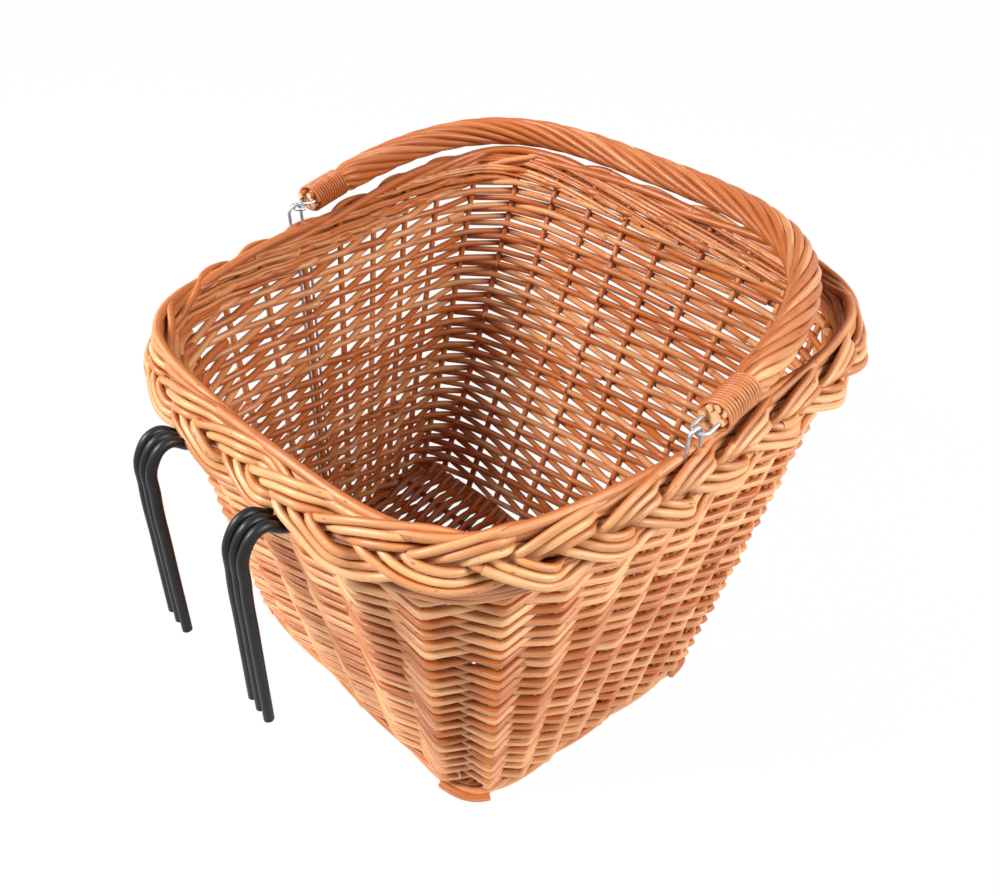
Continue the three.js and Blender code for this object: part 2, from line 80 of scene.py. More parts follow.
# Rounded trapezoid; the corner at -X by the hook wall can be rounder than the other three.
def planPoints(halfWidth, halfDepth, taper, corners, centreY, angle):
    along, across = np.cos(angle), np.sin(angle)
    squareness = np.where((along < 0) & (across > 0), corners[0], corners[1])
    x = halfWidth * np.sign(along) * np.abs(along) ** (2 / squareness)
    y = halfDepth * np.sign(across) * np.abs(across) ** (2 / squareness)
    return np.stack([x * (1 - taper * y / halfDepth), y + centreY, 0 * x], -1)


def measureOutline(*shape):
    sides = []
    for side in range(4):
        start = (3 + 2 * side) * math.pi / 4
        points = planPoints(*shape, start + np.linspace(0, math.pi / 2, outlineRings))
        steps = np.linalg.norm(np.diff(points, axis=0), axis=1)
        sides.append((points, np.concatenate([[0], np.cumsum(steps)])))
    return sides


footTable = measureOutline(wall["footHalfWidth"], wall["footHalfDepth"], wall["footTaper"],
                           (wall["footSquareness"], wall["footSquareness"]), footCentreY)
rimTable = measureOutline(wall["rimHalfWidth"], wall["rimHalfDepth"], wall["rimTaper"],
                          (wall["nearSquareness"], wall["rimSquareness"]), rimCentreY)


# A place round the outline is counted in gaps from the hook wall's -X corner, stakes at the halves.
def outlineAt(table, gaps):
    rest = np.mod(gaps, gapCount)
    found = np.zeros(rest.shape + (3,))
    first = 0
    for side, count in enumerate(gapsPerSide):
        points, lengths = table[side]
        here = (rest >= first) & (rest < first + count)
        wanted = (rest[here] - first) / count * lengths[-1]
        for axis in range(2):
            found[here, axis] = np.interp(wanted, lengths, points[:, axis])
        first += count
    return found


def unit(vectors):
    return vectors / np.linalg.norm(vectors, axis=-1, keepdims=True)


def outwardAt(table, gaps):
    along = outlineAt(table, gaps + besideGaps) - outlineAt(table, gaps - besideGaps)
    return unit(np.cross(along, [0, 0, 1]))


# The real mouth is a little askew: in front of the handle's hinges it leans to +X.
def leanSideways(point):
    share = wall["sidewaysLean"] * point[..., 2] / wall["rimHeight"]
    point[..., 0] += share * np.maximum(wall["leanFrom"] - point[..., 1], 0)
    return point


# The middle of the wall, where the stakes stand.
def wallPoint(gaps, height):
    height = np.broadcast_to(height, gaps.shape)
    low = outlineAt(footTable, gaps) - outwardAt(footTable, gaps) * wall["footBand"] / 2
    high = outlineAt(rimTable, gaps) + outwardAt(rimTable, gaps) * wall["rimRod"] / 2
    point = low + (high - low) * (height / stakeTop)[..., None]
    point[..., 2] = height
    return leanSideways(point)


def wallFacing(gaps, height):
    along = wallPoint(gaps + besideGaps, height) - wallPoint(gaps - besideGaps, height)
    rise = wallPoint(gaps, stakeTop) - wallPoint(gaps, 0)
    return unit(np.cross(along, rise))


# Places at a distance out from an outline.
def besideOutline(table, gaps, out, height):
    out = np.broadcast_to(out, gaps.shape)[..., None]
    point = outlineAt(table, gaps) + outwardAt(table, gaps) * out
    point[..., 2] = height
    return point


def rimPoint(gaps, out, height):
    return leanSideways(besideOutline(rimTable, gaps, out, height))


# Places all the way round, for a closed rod that joins on the far flank.
def allRound():
    return np.arange(20, 20 + gapCount, 0.125)


# Shader maths: a socket with operators, and one method for every other node.
class Flow:
    def __init__(self, tree, socket=None):
        self.tree = tree
        self.socket = socket

    def node(self, kind, settings, inputs, output=0):
        made = self.tree.nodes.new("ShaderNode" + kind)
        for key, value in settings.items():
            setattr(made, key, value)
        self.feed(made, inputs)
        return Flow(self.tree, made.outputs[output])

    def feed(self, made, inputs):
        for key, value in inputs.items():
            if isinstance(value, Flow):
                self.tree.links.new(value.socket, made.inputs[key])
            else:
                made.inputs[key].default_value = value

    def maths(self, operation, first, second):
        return self.node("Math", {"operation": operation}, {0: first, 1: second})

    def __add__(self, other):
        return self.maths("ADD", self, other)

    def __radd__(self, other):
        return self.maths("ADD", other, self)

    def __sub__(self, other):
        return self.maths("SUBTRACT", self, other)

    def __rsub__(self, other):
        return self.maths("SUBTRACT", other, self)

    def __mul__(self, other):
        return self.maths("MULTIPLY", self, other)

    def __rmul__(self, other):
        return self.maths("MULTIPLY", other, self)

    def ramp(self, low, high):
        limits = {"Value": self, "From Min": low, "From Max": high}
        return self.node("MapRange", {"clamp": True}, limits)

    def mixColour(self, factor, first, second):
        colours = {0: factor, 6: first, 7: second}  # a Mix node's colour sockets go by number
        return self.node("Mix", {"data_type": "RGBA"}, colours, 2)

    def stretchedNoise(self, space, stretch, **settings):
        stretched = self.node("VectorMath", {"operation": "MULTIPLY"}, {0: space, 1: stretch})
        return self.node("TexNoise", {}, {"Vector": stretched, "Scale": 1.0, **settings})


def newMaterial(name):
    material = bpy.data.materials.new(name)
    material.use_nodes = True
    tree = material.node_tree
    return material, Flow(tree), tree.nodes["Principled BSDF"]


def srgb(red, green, blue):
    def linear(value):
        value /= 255
        return value / 12.92 if value <= 0.04045 else ((value + 0.055) / 1.055) ** 2.4
    return (linear(red), linear(green), linear(blue), 1)


willowLook = {
    "light": srgb(233, 180, 126),
    "deep": srgb(173, 93, 40),
    "streak": srgb(126, 62, 24),
    "speck": srgb(96, 50, 26),
    "cut": srgb(234, 194, 146),
    "toneShare": 0.75,
    "blotchShare": 0.6,
    # Painted shade inside the basket: how much, over which facing, and the place that shaded faces
    # look towards.
    "paintedInsideShadeShare": 0.4,
    "paintedInsideShadeRamp": (0.02, -0.05),
    "middle": (0, -0.14, 0.3),  # the place that inner faces look towards
    "streakShare": 0.55,
    "streakRamp": (0.5, 0.78),
    "speckShare": 0.7,
    "speckRamp": (0.67, 0.74),
    "knotRamp": (0.45, 0.62),
    "cutShare": 0.75,
    "grainStretch": (700, 700, 26),
    "blotchStretch": (90, 90, 34),
    "speckStretch": (520, 520, 210),
    "knotStretch": (150, 150, 60),
    "roughness": 0.32,
    "grainRoughness": 0.2,
    "speckRoughness": 0.2,
    "specular": 0.46,
    "bump": 0.5,
    "bumpDistance": 0.0006,
    "grainHeight": 0.6,
    "blotchHeight": 0.8,
    "speckDepth": 0.5,
}


# Peeled willow: grain along each rod, a tone of its own for each rod, dark specks and pale cut
# ends. What faces the inside of the basket is painted a shade deeper, as painted shade. A larger
# shift deepens it all: the part's own tone, and for the stakes and the basket's floor painted
# shade.
def willowMaterial(name, look, toneAndPaintedShadeShift):
    material, flow, shader = newMaterial(name)
    space = flow.node("Attribute", {"attribute_name": "rodSpace"}, {}, "Vector")
    tone = flow.node("Attribute", {"attribute_name": "rodTone"}, {}, "Fac")
    cut = flow.node("Attribute", {"attribute_name": "rodCut"}, {}, "Fac")
    grain = flow.stretchedNoise(space, look["grainStretch"], Detail=4.0, Roughness=0.6)
    blotch = flow.stretchedNoise(space, look["blotchStretch"], Detail=2.0)
    speck = flow.stretchedNoise(space, look["speckStretch"], Detail=1.0)
    knot = flow.stretchedNoise(space, look["knotStretch"], Detail=0.0)
    spot = flow.node("TexCoord", {}, {}, "Object")
    facing = flow.node("TexCoord", {}, {}, "Normal")
    away = flow.node("VectorMath", {"operation": "SUBTRACT"}, {0: spot, 1: look["middle"]})
    # Painted shade: faces that look towards the middle of the basket are darkened.
    inside = flow.node("VectorMath", {"operation": "DOT_PRODUCT"}, {0: away, 1: facing}, "Value")
    shade = tone * look["toneShare"] + blotch * look["blotchShare"]
    # The shift adds the part's own tone, and painted shade for the stakes and the basket's floor.
    shade = shade + inside.ramp(*look["paintedInsideShadeRamp"]) * look["paintedInsideShadeShare"] + toneAndPaintedShadeShift
    body = flow.mixColour(shade.ramp(0, 1), look["light"], look["deep"])
    streaks = grain.ramp(*look["streakRamp"]) * look["streakShare"]
    body = flow.mixColour(streaks, body, look["streak"])
    specks = speck.ramp(*look["speckRamp"]) * look["speckShare"] * knot.ramp(*look["knotRamp"])
    body = flow.mixColour(specks, body, look["speck"])
    body = flow.mixColour(cut * look["cutShare"], body, look["cut"])
    height = grain * look["grainHeight"] + blotch * look["blotchHeight"]
    height = height - specks * look["speckDepth"]
    bump = flow.node("Bump", {}, {"Strength": look["bump"], "Distance": look["bumpDistance"],
                                  "Height": height})
    roughness = look["roughness"] + grain * look["grainRoughness"]
    flow.feed(shader, {
        "Base Color": body,
        "Roughness": roughness + specks * look["speckRoughness"],
        "Normal": bump,
        "Specular IOR Level": look["specular"],
    })
    return material


# Shifts: the rim, plait and foot rods and the weavers keep a light tone, and the handle's is its
# own darker tone. The stakes, which stand back between the weavers, and the floor of the basket get
# deeper shifts, as painted shade in the wall's crevices and at the bottom of the basket. The
# handle's bindings share the stakes' material.
willowOuter = willowMaterial("willow rods", willowLook, -0.14)
willowHandle = willowMaterial("willow handle", willowLook, -0.04)
willowWall = willowMaterial("willow weavers", willowLook, -0.15)
willowInner = willowMaterial("willow stakes", willowLook, 0.0)
willowFloorPaintedShade = willowMaterial("willow floor painted shade", willowLook, 0.4)

blackLook = {
    "colour": srgb(10, 10, 11),
    "worn": srgb(26, 26, 27),
    "wornShare": 0.5,
    "wornRamp": (0.45, 0.75),
    "roughness": 0.34,
    "wornRoughness": 0.14,
    "specular": 0.32,
    "bump": 0.12,
    "bumpDistance": 0.0004,
    "grain": 420.0,
    "wear": 60.0,
}


def blackMaterial(look):
    material, flow, shader = newMaterial("black coating")
    spot = flow.node("TexCoord", {}, {}, "Object")
    grain = flow.node("TexNoise", {}, {"Vector": spot, "Scale": look["grain"], "Detail": 2.0})
    wear = flow.node("TexNoise", {}, {"Vector": spot, "Scale": look["wear"], "Detail": 3.0})
    bump = flow.node("Bump", {}, {"Strength": look["bump"], "Distance": look["bumpDistance"],
                                  "Height": grain})
    worn = wear.ramp(*look["wornRamp"]) * look["wornShare"]
    flow.feed(shader, {
        "Base Color": flow.mixColour(worn, look["colour"], look["worn"]),
        "Roughness": look["roughness"] + wear * look["wornRoughness"],
        "Normal": bump,
        "Specular IOR Level": look["specular"],
    })
    return material


zincLook = {
    "bright": srgb(196, 199, 203),
    "dull": srgb(150, 154, 160),
    "dullRamp": (0.4, 0.7),
    "roughness": 0.26,
    "dullRoughness": 0.3,
    "metallic": 0.92,
    "spots": 260.0,
}


def zincMaterial(look):
    material, flow, shader = newMaterial("zinc wire")
    spot = flow.node("TexCoord", {}, {}, "Object")
    dull = flow.node("TexNoise", {}, {"Vector": spot, "Scale": look["spots"], "Detail": 3.0})
    flow.feed(shader, {
        "Base Color": flow.mixColour(dull.ramp(*look["dullRamp"]), look["bright"], look["dull"]),
        "Roughness": look["roughness"] + dull * look["dullRoughness"],
        "Metallic": look["metallic"],
    })
    return material


blackCoating = blackMaterial(blackLook)
zincWire = zincMaterial(zincLook)
print("materials made")

grainShift = 61.7  # sets each rod's grain apart, by its tone


# Turns a curve into a mesh piece.
def pieceFromCurve(name, curve, material):
    holder = bpy.data.objects.new(name + "_curve", curve)
    bpy.context.scene.collection.objects.link(holder)
    graph = bpy.context.evaluated_depsgraph_get()
    mesh = bpy.data.meshes.new_from_object(holder.evaluated_get(graph), depsgraph=graph)
    bpy.data.objects.remove(holder)
    bpy.data.curves.remove(curve)
    mesh.name = name
    mesh.materials.clear()
    mesh.materials.append(material)
    piece = bpy.data.objects.new(name, mesh)
    bpy.context.scene.collection.objects.link(piece)
    return piece


# Lays rods along their paths as bevelled curve splines and turns them into one mesh. Every vertex
# keeps its place in its rod (across, across, along), the rod's own tone, and 1 at a cut end.
def layRods(name, rods, material, ringSteps=2):
    curve = bpy.data.curves.new(name, "CURVE")
    curve.dimensions = "3D"
    curve.bevel_depth = 1.0
    curve.bevel_resolution = ringSteps
    curve.use_fill_caps = True
    for rod in rods:
        count = len(rod["path"])
        rod["radius"] = np.broadcast_to(rod["radius"], count).astype(float)
        spline = curve.splines.new("POLY")
        spline.points.add(count - 1)
        flat = np.ones((count, 4))
        flat[:, :3] = rod["path"]
        spline.points.foreach_set("co", flat.ravel())
        spline.points.foreach_set("radius", rod["radius"])
        spline.use_cyclic_u = rod.get("closed", False)
        spline.use_smooth = True
    piece = pieceFromCurve(name, curve, material)
    sides = 2 * ringSteps + 4
    space, tone, cut = [], [], []
    turn = 2 * math.pi * np.arange(sides) / sides
    circle = np.stack([np.cos(turn), np.sin(turn)], -1)

    def ring(rod, index):
        along = np.full((sides, 1), rod["along"][index])
        return np.concatenate([circle * rod["radius"][index], along], 1)

    for rod in rods:
        steps = np.linalg.norm(np.diff(rod["path"], axis=0), axis=1)
        rod["along"] = np.concatenate([[0], np.cumsum(steps)]) + rod["tone"] * grainShift
    for rod in reversed(rods):  # a mesh made from a curve lists the end caps first, last rod first
        if not rod.get("closed", False):
            for index in (-1, 0):
                space.append(ring(rod, index))
                tone.append(np.full(sides, rod["tone"]))
                cut.append(np.ones(sides))
    for rod in rods:
        count = len(rod["path"])
        space += [ring(rod, index) for index in range(count)]
        tone.append(np.full(sides * count, rod["tone"]))
        cut.append(np.zeros(sides * count))
    kinds = {"FLOAT_VECTOR": "vector", "FLOAT": "value"}
    for label, kind, values in (("rodSpace", "FLOAT_VECTOR", space), ("rodTone", "FLOAT", tone),
                                ("rodCut", "FLOAT", cut)):
        layer = piece.data.attributes.new(label, kind, "POINT")
        layer.data.foreach_set(kinds[kind], np.concatenate(values).ravel())
    return piece


# Says which body a piece rides on and hides the solids that it stands for; the slot is not used.
def place(piece, body, slot, *nodes):
    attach(piece, body)
    if nodes:
        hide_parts(*nodes)


def startingWith(prefix):
    return [name for name in nodeNames if name.startswith(prefix)]


# Camera, at the photograph's place.
camera = {
    "position": (-0.35524, 0.20816, 0.56666),
    "azimuth": 225.253,
    "elevation": 40.216,
    "roll": 0.402,
    "lens": 33.667,
    "sensor": 36,
}


def makeCamera(look):
    azimuth, elevation = math.radians(look["azimuth"]), math.radians(look["elevation"])
    roll = math.radians(look["roll"])
    level = math.cos(elevation)
    back = Vector((math.sin(azimuth) * level, -math.cos(azimuth) * level, math.sin(elevation)))
    right = Vector((math.cos(azimuth), math.sin(azimuth), 0))
    upward = back.cross(right)
    tilted = right * math.cos(roll) + upward * math.sin(roll)
    upright = upward * math.cos(roll) - right * math.sin(roll)
    data = bpy.data.cameras.new("camera")
    data.lens = look["lens"]
    data.sensor_width = look["sensor"]
    data.clip_start = 0.01
    holder = bpy.data.objects.new("camera", data)
    bpy.context.scene.collection.objects.link(holder)
    turn = Matrix((tilted, upright, back)).transposed().to_4x4()
    holder.matrix_world = Matrix.Translation(look["position"]) @ turn
    bpy.context.scene.camera = holder


makeCamera(camera)

# Foot border: three rods laid round each other, and a short thick rod at each foot.
foot = {
    "rod": 0.0028,
    "sideways": 0.0036,
    "upright": 0.0022,
    "lay": 5,
    "height": 0.005,
    "feet": (  # place and half length in gaps, radius, and how far it stands out
        (0, 0.55, 0.0032, 0),
        (8.2, 0.4, 0.0042, -0.002),
        (18.8, 0.4, 0.0042, -0.002),
        (27, 0.5, 0.0032, -0.004),
    ),
    "feetRise": 0.0004,
    "feetTone": (0.6, 0.9),
    "feetRings": 20,
}


def makeFoot(look):
    chance = random.Random(3)
    rods = []
    gaps = allRound()
    for strand in range(3):
        phase = 2 * math.pi * (gaps * look["lay"] / gapCount + strand / 3)
        out = -wall["footBand"] / 2 + look["sideways"] * np.cos(phase)
        height = look["height"] + look["upright"] * np.sin(phase)
        point = besideOutline(footTable, gaps, out, height)
        rods.append({"path": point, "radius": look["rod"], "tone": chance.random(), "closed": True})
    for middle, reach, size, out in look["feet"]:
        gaps = middle + np.linspace(-reach, reach, look["feetRings"])
        point = besideOutline(footTable, gaps, out, size + look["feetRise"])
        rods.append({"path": point, "radius": size, "tone": chance.uniform(*look["feetTone"])})
    place(layRods("foot_rope", rods, willowOuter, 3), "basket", "willow", "foot_border")


makeFoot(foot)

# Base: sticks from side to side, and rods woven over and under them from front to back.
base = {
    "stick": 0.0026,
    "height": 0.0133,
    "rod": 0.0026,
    "pitch": 0.0045,
    "inset": 0.0105,
    "bow": 0.0006,
    "uneven": 0.12,
    "taper": (1.06, 0.92),
    "bowWaves": 40,
    "cornerPower": 16,
    "cornerRoot": 10,
    "stickRings": 24,
    "ringsPerStick": 8,
}


def makeBase(look):
    chance = random.Random(5)
    sticks = []
    for name in startingWith("base_stick"):
        low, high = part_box(name)
        y = (low.y + high.y) / 2
        ends = [low.x, y, look["height"]], [high.x, y, look["height"]]
        path = np.linspace(*ends, look["stickRings"])
        sticks.append({"path": path, "radius": look["stick"], "tone": chance.random()})
    piece = layRods("base_sticks", sticks, willowFloorPaintedShade)
    place(piece, "basket", "willow_inner", *startingWith("base_stick"))
    stickY = np.sort([stick["path"][0, 1] for stick in sticks])
    spacing = stickY[1] - stickY[0]
    step = spacing / look["ringsPerStick"]
    swing = look["stick"] + look["rod"]
    halfWidth = wall["footHalfWidth"] - look["inset"]
    halfDepth = wall["footHalfDepth"] - look["inset"]
    count = int(2 * halfWidth / look["pitch"])
    rods = []
    for index in range(count):
        x = (index - (count - 1) / 2) * look["pitch"]
        share = min(abs(x) / halfWidth, 0.99)
        reach = halfDepth * (1 - share ** look["cornerPower"]) ** (1 / look["cornerRoot"])
        y = np.arange(footCentreY - reach, footCentreY + reach + step, step)
        z = look["height"] + swing * np.cos(math.pi * ((y - stickY[0]) / spacing + index))
        narrow = 1 - wall["footTaper"] * (y - footCentreY) / wall["footHalfDepth"]
        path = np.stack([x * narrow + look["bow"] * np.sin(y * look["bowWaves"] + index), y, z], -1)
        radius = look["rod"] * (1 + look["uneven"] * chance.uniform(-1, 1))
        radius = radius * np.linspace(*look["taper"], len(y))
        rods.append({"path": path, "radius": radius, "tone": chance.random()})
    place(layRods("base_weave", rods, willowFloorPaintedShade), "basket", "willow_inner", "base_weaver")


makeBase(base)

# Stakes stand in the middle of the gaps' count, a pair either side of each corner.
staking = {"low": 0.0066, "rings": 12}


def makeStakes(look):
    chance = random.Random(7)
    rods = []
    heights = np.linspace(look["low"], stakeTop, look["rings"])
    radius = np.linspace(wall["stakeFoot"], wall["stakeRim"], look["rings"]) / 2
    for index in range(gapCount):
        path = wallPoint(np.full(look["rings"], index + 0.5), heights)
        rods.append({"path": path, "radius": radius, "tone": chance.random()})
    place(layRods("stakes", rods, willowInner), "basket", "willow_inner", *startingWith("stake_"))


makeStakes(staking)

# Side weave: rods wound round the wall in one rising spiral, each rod in front of one stake and
# behind the next. Rods part to let the hook rods through.
weave = {
    "firstHeight": 0.0100,
    "lastHeight": 0.2515,
    "pitch": 0.00488,
    "ripples": (  # size, waves round the basket, rise per wave, start
        (0.0006, 3.1, 0.041, 1.3),
        (0.0004, 7.3, -0.027, 0),
    ),
    "rippleFrom": 0.02,
    "rod": 0.00256,
    "rings": (0, 0.06, 0.2, 0.5, 0.8, 0.94),  # from one stake to the next
    "rodGaps": (9, 16),
    "rodSize": (0.94, 1.05),
    "tight": (0.94, 1.16),
    "bendShare": 0.97,
    "thickEnd": 1.07,
    "taper": 0.17,
    "swell": 0.03,
    "swellWaves": 2.1,
    "startTuck": (0.0032, 0.45),  # depth, and gaps from the rod's end
    "endTuck": (0.0012, 0.4),
    "hookX": 0.044,
    "hookZ": 0.236,
    "hookRoom": 0.0044,
    "hookHalfWidth": 0.0165,
    "hookFade": 0.009,
}


def spiralHeight(gaps, look):
    height = look["firstHeight"] + look["pitch"] * gaps / gapCount
    ripple = 0
    for size, waves, rise, start in look["ripples"]:
        turns = waves * gaps / gapCount + height / rise
        ripple = ripple + size * np.sin(2 * math.pi * turns + start)
    return height + ripple * np.clip((height - look["firstHeight"]) / look["rippleFrom"], 0, 1)


def partForHooks(gaps, point, look):
    hookSide = np.mod(gaps, gapCount) > gapCount - gapsPerSide[3]
    fromHook = np.abs(point[:, 0]) - look["hookX"]
    beside = np.exp(-(fromHook / look["hookHalfWidth"]) ** 4) * hookSide
    away = point[:, 2] - look["hookZ"]
    push = look["hookRoom"] * np.exp(-np.abs(away) / look["hookFade"]) * np.sign(away)
    return beside * push


# A weaver runs straight from stake to stake and bends where it passes each.
def weaverPath(start, end, look, chance):
    number = np.arange(math.floor(start - 0.5) - 1, math.ceil(end - 0.5) + 2)
    stakes = number + 0.5
    height = spiralHeight(stakes, look)
    height = height + partForHooks(stakes, wallPoint(stakes, height), look)
    stake = (wall["stakeFoot"] + (wall["stakeRim"] - wall["stakeFoot"]) * height / stakeTop) / 2
    tight = np.array([chance.uniform(*look["tight"]) for _ in stakes])
    swing = (stake + look["rod"]) * np.where(number % 2, -1, 1) * tight / look["bendShare"]
    knots = wallPoint(stakes, height) + wallFacing(stakes, height) * swing[:, None]
    wide = (stakes[:, None] + np.array(look["rings"])).ravel()
    wide = wide[(wide > start - 0.5) & (wide < end + 0.5)]
    path = np.stack([np.interp(wide, stakes, knots[:, axis]) for axis in range(3)], -1)
    return wide[1:-1], (path[:-2] + 2 * path[1:-1] + path[2:]) / 4


# Rods follow one another up the spiral; each one starts and ends on the inside of the wall.
def sideRods(startGap, endGap, look, seed):
    chance = random.Random(seed)
    startDepth, startReach = look["startTuck"]
    endDepth, endReach = look["endTuck"]
    rods = []
    start = startGap
    while start < endGap - 1:
        end = min(start + chance.randint(*look["rodGaps"]), endGap)
        inside = end + 0.5 if math.cos(math.pi * end) < 0 else end + 1.5
        end = min(inside, endGap)
        gaps, point = weaverPath(start, end, look, chance)
        fromStart = gaps - gaps[0]
        fromEnd = gaps[-1] - gaps
        inward = startDepth * np.exp(-(fromStart / startReach) ** 2)
        inward = inward + endDepth * np.exp(-(fromEnd / endReach) ** 2)
        point = point - wallFacing(gaps, point[:, 2]) * inward[:, None]
        share = fromStart / fromStart[-1]
        size = chance.uniform(*look["rodSize"])
        radius = look["rod"] * size * (look["thickEnd"] - look["taper"] * share)
        radius = radius * (1 + look["swell"] * np.sin(fromStart * look["swellWaves"] + size * 90))
        rods.append({"path": point, "radius": radius, "tone": chance.random()})
        start = end
    return rods


def makeSideWeave(look):
    turns = int((look["lastHeight"] - look["firstHeight"]) / look["pitch"])
    hookTurn = math.floor((look["hookZ"] - look["firstHeight"]) / look["pitch"])
    for name, first, last, node in (
        ("weave_lower", 0, hookTurn // 2, "side_weave_lower"),
        ("weave_upper", hookTurn // 2, hookTurn, "side_weave_upper"),
        ("wale_rows", hookTurn, turns, "upper_wale"),
    ):
        rods = sideRods(first * gapCount + 0.5, last * gapCount + 0.5, look, 11 + first)
        place(layRods(name, rods, willowWall), "basket", "willow", node)


makeSideWeave(weave)
print("walls woven")

# Rim: two thick rods that cross along the inside top edge.
rim = {
    "rod": 0.0030,
    "spread": 0.0030,
    "sideways": 0.55,
    "turns": 5,
    "startTurn": 0.6,
    "out": 0.0031,
    "height": 0.2588,
}


def makeRimRods(look):
    chance = random.Random(19)
    gaps = allRound()
    rods = []
    for strand in range(2):
        phase = 2 * math.pi * (gaps * look["turns"] / gapCount + strand / 2) + look["startTurn"]
        out = look["out"] + look["sideways"] * look["spread"] * np.cos(phase)
        point = rimPoint(gaps, out, look["height"] + look["spread"] * np.sin(phase))
        rods.append({"path": point, "radius": look["rod"], "tone": chance.random(), "closed": True})
    piece = layRods("rim_rods", rods, willowOuter, 3)
    place(piece, "basket", "willow", "rim_rod_upper", "rim_rod_lower")


makeRimRods(rim)

# Thin slanted rods, packed close, inside the wall under the rim.
lining = {
    "rod": 0.0015,
    "rodSize": (0.8, 1.15),
    "thinStart": 0.55,
    "thickens": 6,
    "rings": 22,
    "perGap": 2,
    "length": 5.5,
    "lengths": (0.85, 1.15),
    "low": 0.238,
    "high": 0.2575,
    "inset": 0.0046,
    "uneven": 0.0012,
    "endTuck": (0.002, 0.15),  # depth, and share of the rod's length
}


def makeLining(look):
    chance = random.Random(23)
    rods = []
    share = np.linspace(0, 1, look["rings"])
    swell = look["thinStart"] + (1 - look["thinStart"]) * np.minimum(share * look["thickens"], 1)
    endDepth, endReach = look["endTuck"]
    for index in range(gapCount * look["perGap"]):
        gaps = index / look["perGap"] + share * look["length"] * chance.uniform(*look["lengths"])
        height = look["low"] + (look["high"] - look["low"]) * share
        height = height + look["uneven"] * chance.uniform(-1, 1)
        depth = look["inset"] + look["uneven"] * np.cos(2 * math.pi * gaps)
        depth = depth - endDepth * np.exp(-((1 - share) / endReach) ** 2)
        point = wallPoint(gaps, height) - wallFacing(gaps, height) * depth[:, None]
        radius = look["rod"] * chance.uniform(*look["rodSize"]) * swell
        rods.append({"path": point, "radius": radius, "tone": chance.random()})
    place(layRods("rim_lining", rods, willowWall, 1), "basket", "willow")


makeLining(lining)

# The handle hangs on a wire eye each side, by the fourth stake from the hook wall. Side 1 is +X.
hinge = {
    "gapsFromCorner": 3.5,  # where the plait's count of lobes changes
    "gaps": {-1: 3.467, 1: 23.4865},  # where the eyes stand
    "out": 0.007,
    "height": 0.2758,
    "wire": 0.0011,
    "linkWidth": 0.0096,
    "linkInHandle": 0.016,
    "linkFree": 0.002,
    "eyeRoom": 0.0012,
    "eyeHeadroom": 0.0004,
    "legHeights": (0.062, 0.236, 0.2456),
    "legAtRim": 0.0112,
    "bendRings": 17,
}

# Plait: three strands, each of three rods side by side, over the outside of the rim.
plait = {
    "out": 0.0130,
    "drop": 0.0162,
    "tilt": 62,
    "swing": 0.0103,
    "farSwing": 0.74,  # share of the swing away from the near corner
    "nearGaps": 6,
    "nearTuck": 0.005,
    "nearTuckGaps": 3,
    "cornerTuck": 0.0085,
    "cornerGaps": 1.3,
    "hookX": 0.044,
    "hookHalfWidth": 0.02,
    "hookTuck": 0.34,
    "hookLift": 0.003,
    "lean": 0.08,
    "uneven": 0.16,
    "unevenFrom": 0.75,
    "rise": 0.0043,
    "squareRise": 1.9,
    "turnByLane": 0.9,
    "rod": 0.0024,
    "rodSize": (0.95, 1.06),
    "thickEnd": 1.05,
    "taper": 0.12,
    "pitch": 0.0049,
    "wander": 0.05,
    "wanderWaves": 1.7,
    "frontLobes": 15,
    "hookSideLobes": 12,
    "ringsPerLobe": 16,
    "rodLobes": (5, 9),
    "shortestRod": 2,
    "overlap": 0.35,
}


def gapsAtLobe(lobes, look):
    total = look["frontLobes"] + look["hookSideLobes"]
    turns = np.floor(lobes / total)
    right, left = hinge["gapsFromCorner"], sum(gapsPerSide[:3]) - hinge["gapsFromCorner"]
    return np.interp(lobes - turns * total, [0, look["frontLobes"], total],
                     [right, left, gapCount + right]) + turns * gapCount


# Gaps from place 0, counted the short way round.
def signedGaps(gaps):
    return np.mod(gaps + gapCount / 2, gapCount) - gapCount / 2


# The path of one rod of a strand, at its offset from the strand's middle.
def plaitPath(lobes, strand, offset, look):
    theta = 2 * math.pi * (lobes + strand) / 3
    gaps = gapsAtLobe(lobes, look)
    outward = outwardAt(rimTable, gaps)
    tilt = math.radians(look["tilt"])
    across = outward * math.cos(tilt) - np.array([0, 0, math.sin(tilt)])
    facing = outward * math.sin(tilt) + np.array([0, 0, math.cos(tilt)])
    corners = np.cumsum([0] + gapsPerSide[:3])
    toCorner = np.min(np.abs(signedGaps(gaps[:, None] - corners)), axis=1)
    fromNear = signedGaps(gaps)
    tuck = np.where(np.abs(fromNear) < look["nearTuckGaps"], look["nearTuck"], look["cornerTuck"])
    out = look["out"] - tuck * np.exp(-(toCorner / look["cornerGaps"]) ** 2)
    centre = rimPoint(gaps, out, wall["rimHeight"] - look["drop"])
    near = np.exp(-(fromNear / look["nearGaps"]) ** 2)
    swing = look["swing"] * (look["farSwing"] + (1 - look["farSwing"]) * near)
    side = swing * (np.sin(theta) - look["lean"] * np.cos(2 * theta))
    longer = look["uneven"] * np.cos(math.pi * (lobes - look["unevenFrom"]))
    side = side + swing * longer * np.maximum(np.sin(theta), 0) ** 2
    step = np.gradient(centre, axis=0)
    length = np.linalg.norm(step, axis=1)
    slope = np.gradient(side) / length
    normal = 1 / np.sqrt(1 + slope ** 2)
    turned = theta + look["turnByLane"] * offset / look["swing"] * np.cos(theta)
    square = look["squareRise"]
    lift = look["rise"] * np.tanh(square * np.sin(2 * turned)) / math.tanh(square)
    fromHook = np.abs(centre[:, 0]) - look["hookX"]
    overHook = np.exp(-(fromHook / look["hookHalfWidth"]) ** 4) * (centre[:, 1] > 0)
    side = side - look["hookTuck"] * overHook * np.maximum(side, 0)
    lift = lift + look["hookLift"] * overHook
    point = centre + across * (side + offset * normal)[:, None] + facing * lift[:, None]
    return point - step / length[:, None] * (offset * slope * normal)[:, None]


